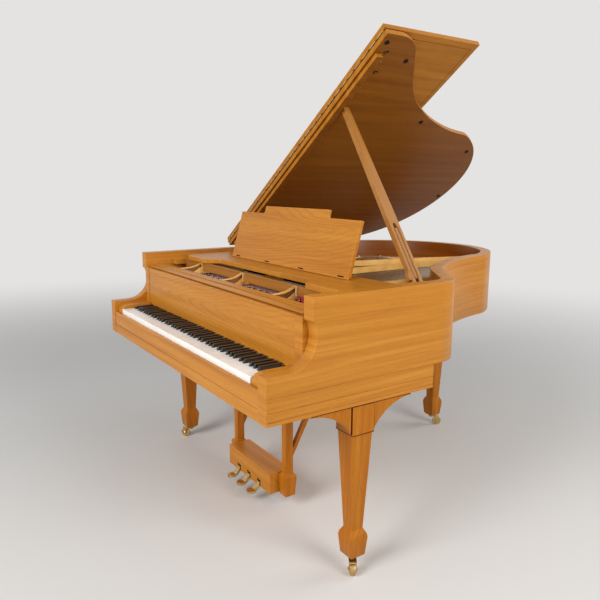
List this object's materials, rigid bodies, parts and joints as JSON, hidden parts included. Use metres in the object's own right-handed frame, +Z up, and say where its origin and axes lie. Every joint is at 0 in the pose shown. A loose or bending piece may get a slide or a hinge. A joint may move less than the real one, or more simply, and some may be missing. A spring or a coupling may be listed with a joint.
{
  "type": "grand piano",
  "caption": "Grand piano in light walnut with square tapered legs on brass casters, a propped lid with its front flap folded back, a music desk and a pedal lyre.",
  "frame": {"origin": "on the floor, under the middle of the case's width, in line with the front of the arms", "axes": "+X to the treble side, +Y to the tail, +Z up"},
  "size_m": [1.4888, 1.8269, 1.8588],
  "materials": {
    "walnut": "satin lacquer",
    "beech": "oiled",
    "spruce": "clear varnish",
    "maple": "clear varnish",
    "bronzed_iron": "gold bronze lacquer",
    "steel": "drawn wire",
    "copper_winding": "drawn wire",
    "brass": "polished",
    "ivory": "polished",
    "ebony": "satin",
    "black_wood": "satin",
    "felt": "pressed felt",
    "rubber": "matt"
  },
  "bodies": {
    "case": {"outer_rim": "walnut", "inner_rim": "beech", "base_rails": "walnut", "key_bed": "beech", "key_slip": "walnut", "key_blocks": "walnut", "stretcher": "walnut", "back_braces": "beech", "soundboard": "spruce", "bridges": "maple", "pin_block": "maple", "iron_plate": "bronzed_iron", "tuning_pins": "steel", "plain_strings": "steel", "bass_strings": "copper_winding", "hammer_rail": "beech", "hammers": "felt", "treble_front_leg": "walnut", "bass_front_leg": "walnut", "rear_leg": "walnut", "lyre_frame": "walnut", "pedal_box": "walnut", "lyre_braces": "walnut", "lid_hinge_leaves": "brass", "prop_bracket": "brass", "desk_rails": "walnut"},
    "lid_body": {"lid": "walnut", "lid_brass": "brass", "lid_bumpers": "rubber"},
    "flap_body": {"lid_flap": "walnut"},
    "prop_body": {"prop_stick": "walnut"},
    "half_stick_body": {"half_stick": "walnut"},
    "fallboard_body": {"fallboard": "walnut"},
    "tray_body": {"desk_tray": "walnut"},
    "desk_body": {"music_desk": "walnut"},
    "desk_strut_body": {"desk_strut": "walnut"},
    "key_frame_body": {"key_frame": "beech"},
    "c_keys": {"keys_c": "ivory"},
    "c_sharp_keys": {"keys_c_sharp": "ebony"},
    "d_keys": {"keys_d": "ivory"},
    "d_sharp_keys": {"keys_d_sharp": "ebony"},
    "e_keys": {"keys_e": "ivory"},
    "f_keys": {"keys_f": "ivory"},
    "f_sharp_keys": {"keys_f_sharp": "ebony"},
    "g_keys": {"keys_g": "ivory"},
    "g_sharp_keys": {"keys_g_sharp": "ebony"},
    "a_keys": {"keys_a": "ivory"},
    "a_sharp_keys": {"keys_a_sharp": "ebony"},
    "b_keys": {"keys_b": "ivory"},
    "damper_body": {"dampers": "black_wood"},
    "soft_pedal_body": {"soft_pedal": "brass"},
    "sostenuto_pedal_body": {"sostenuto_pedal": "brass"},
    "sustain_pedal_body": {"sustain_pedal": "brass"},
    "treble_caster": {"treble_caster_fork": "brass"},
    "treble_wheel": {"treble_caster_wheel": "brass"},
    "bass_caster": {"bass_caster_fork": "brass"},
    "bass_wheel": {"bass_caster_wheel": "brass"},
    "rear_caster": {"rear_caster_fork": "brass"},
    "rear_wheel": {"rear_caster_wheel": "brass"}
  },
  "joints": [
    {"name": "lid_hinge", "type": "hinge", "parent": "case", "child": "lid_body", "pos_m": [-0.7375, 1, 0.99], "axis": [0, -1, 0], "range_deg": [0, 12]},
    {"name": "flap_hinge", "type": "hinge", "parent": "lid_body", "child": "flap_body", "pos_m": [-0.14042, 0.6375, 1.42344], "axis": [0.8261, 0, 0.5635], "range_deg": [0, 180]},
    {"name": "prop_fold", "type": "hinge", "parent": "case", "child": "prop_body", "pos_m": [0.652, 0.668, 0.952], "axis": [-0.6359, -0.6359, -0.4373], "range_deg": [0, 61.5]},
    {"name": "half_stick_swing", "type": "hinge", "parent": "prop_body", "child": "half_stick_body", "pos_m": [0.62593, 0.66973, 0.9874], "axis": [0.0233, 0.9992, -0.0316], "range_deg": [0, 25]},
    {"name": "fallboard_hinge", "type": "hinge", "parent": "case", "child": "fallboard_body", "pos_m": [0, 0.165, 0.762], "axis": [1, 0, 0], "range_deg": [0, 88]},
    {"name": "tray_slide", "type": "slide", "parent": "case", "child": "tray_body", "axis": [0, -1, 0], "range_m": [-0.01, 0.09]},
    {"name": "desk_hinge", "type": "hinge", "parent": "tray_body", "child": "desk_body", "pos_m": [0, 0.525, 0.973], "axis": [-1, 0, 0], "range_deg": [0, 70]},
    {"name": "desk_strut_hinge", "type": "hinge", "parent": "desk_body", "child": "desk_strut_body", "pos_m": [0, 0.56923, 1.1164], "axis": [1, 0, 0], "range_deg": [0, 126]},
    {"name": "key_frame_slide", "type": "slide", "parent": "case", "child": "key_frame_body", "axis": [1, 0, 0], "range_m": [0, 0.003], "stiffness_N_per_m": 4000},
    {"name": "c_keys_dip", "type": "hinge", "parent": "key_frame_body", "child": "c_keys", "pos_m": [0, 0.245, 0.712], "axis": [1, 0, 0], "range_deg": [0, 2.6], "stiffness_Nm_per_rad": 100, "springref_deg": -4.01},
    {"name": "c_sharp_keys_dip", "type": "hinge", "parent": "key_frame_body", "child": "c_sharp_keys", "pos_m": [0, 0.245, 0.712], "axis": [1, 0, 0], "range_deg": [0, 2.6], "stiffness_Nm_per_rad": 100, "springref_deg": -4.01},
    {"name": "d_keys_dip", "type": "hinge", "parent": "key_frame_body", "child": "d_keys", "pos_m": [0, 0.245, 0.712], "axis": [1, 0, 0], "range_deg": [0, 2.6], "stiffness_Nm_per_rad": 100, "springref_deg": -4.01},
    {"name": "d_sharp_keys_dip", "type": "hinge", "parent": "key_frame_body", "child": "d_sharp_keys", "pos_m": [0, 0.245, 0.712], "axis": [1, 0, 0], "range_deg": [0, 2.6], "stiffness_Nm_per_rad": 100, "springref_deg": -4.01},
    {"name": "e_keys_dip", "type": "hinge", "parent": "key_frame_body", "child": "e_keys", "pos_m": [0, 0.245, 0.712], "axis": [1, 0, 0], "range_deg": [0, 2.6], "stiffness_Nm_per_rad": 100, "springref_deg": -4.01},
    {"name": "f_keys_dip", "type": "hinge", "parent": "key_frame_body", "child": "f_keys", "pos_m": [0, 0.245, 0.712], "axis": [1, 0, 0], "range_deg": [0, 2.6], "stiffness_Nm_per_rad": 100, "springref_deg": -4.01},
    {"name": "f_sharp_keys_dip", "type": "hinge", "parent": "key_frame_body", "child": "f_sharp_keys", "pos_m": [0, 0.245, 0.712], "axis": [1, 0, 0], "range_deg": [0, 2.6], "stiffness_Nm_per_rad": 100, "springref_deg": -4.01},
    {"name": "g_keys_dip", "type": "hinge", "parent": "key_frame_body", "child": "g_keys", "pos_m": [0, 0.245, 0.712], "axis": [1, 0, 0], "range_deg": [0, 2.6], "stiffness_Nm_per_rad": 100, "springref_deg": -4.01},
    {"name": "g_sharp_keys_dip", "type": "hinge", "parent": "key_frame_body", "child": "g_sharp_keys", "pos_m": [0, 0.245, 0.712], "axis": [1, 0, 0], "range_deg": [0, 2.6], "stiffness_Nm_per_rad": 100, "springref_deg": -4.01},
    {"name": "a_keys_dip", "type": "hinge", "parent": "key_frame_body", "child": "a_keys", "pos_m": [0, 0.245, 0.712], "axis": [1, 0, 0], "range_deg": [0, 2.6], "stiffness_Nm_per_rad": 100, "springref_deg": -4.01},
    {"name": "a_sharp_keys_dip", "type": "hinge", "parent": "key_frame_body", "child": "a_sharp_keys", "pos_m": [0, 0.245, 0.712], "axis": [1, 0, 0], "range_deg": [0, 2.6], "stiffness_Nm_per_rad": 100, "springref_deg": -4.01},
    {"name": "b_keys_dip", "type": "hinge", "parent": "key_frame_body", "child": "b_keys", "pos_m": [0, 0.245, 0.712], "axis": [1, 0, 0], "range_deg": [0, 2.6], "stiffness_Nm_per_rad": 100, "springref_deg": -4.01},
    {"name": "damper_lift", "type": "slide", "parent": "case", "child": "damper_body", "axis": [0, 0, 1], "range_m": [0, 0.004], "stiffness_N_per_m": 2000, "springref_m": -0.005},
    {"name": "soft_pedal_dip", "type": "hinge", "parent": "case", "child": "soft_pedal_body", "pos_m": [-0.086, 0.415, 0.075], "axis": [1, 0, 0], "range_deg": [0, 6.4], "stiffness_Nm_per_rad": 30, "springref_deg": -5.73},
    {"name": "sostenuto_pedal_dip", "type": "hinge", "parent": "case", "child": "sostenuto_pedal_body", "pos_m": [0, 0.415, 0.075], "axis": [1, 0, 0], "range_deg": [0, 6.4], "stiffness_Nm_per_rad": 30, "springref_deg": -5.73},
    {"name": "sustain_pedal_dip", "type": "hinge", "parent": "case", "child": "sustain_pedal_body", "pos_m": [0.086, 0.415, 0.075], "axis": [1, 0, 0], "range_deg": [0, 6.4], "stiffness_Nm_per_rad": 30, "springref_deg": -5.73},
    {"name": "treble_caster_swivel", "type": "hinge", "parent": "case", "child": "treble_caster", "pos_m": [0.6855, 0.366, 0.069], "axis": [0, 0, 1], "continuous": true},
    {"name": "treble_wheel_roll", "type": "hinge", "parent": "treble_caster", "child": "treble_wheel", "pos_m": [0.70844, 0.34994, 0.022], "axis": [0.5736, 0.8192, 0], "continuous": true},
    {"name": "bass_caster_swivel", "type": "hinge", "parent": "case", "child": "bass_caster", "pos_m": [-0.6855, 0.366, 0.069], "axis": [0, 0, 1], "continuous": true},
    {"name": "bass_wheel_roll", "type": "hinge", "parent": "bass_caster", "child": "bass_wheel", "pos_m": [-0.70844, 0.34994, 0.022], "axis": [0.5736, -0.8192, 0], "continuous": true},
    {"name": "rear_caster_swivel", "type": "hinge", "parent": "case", "child": "rear_caster", "pos_m": [-0.112, 1.55991, 0.069], "axis": [0, 0, 1], "continuous": true},
    {"name": "rear_wheel_roll", "type": "hinge", "parent": "rear_caster", "child": "rear_wheel", "pos_m": [-0.098, 1.58416, 0.022], "axis": [-0.866, 0.5, 0], "continuous": true}
  ],
  "couplings": [
    {"joint": "desk_strut_hinge", "follows": "desk_hinge", "ratio": 1.8},
    {"joint": "key_frame_slide", "follows": "soft_pedal_dip", "m_per_rad": 0.026857},
    {"joint": "damper_lift", "follows": "sustain_pedal_dip", "m_per_rad": 0.03581}
  ]
}
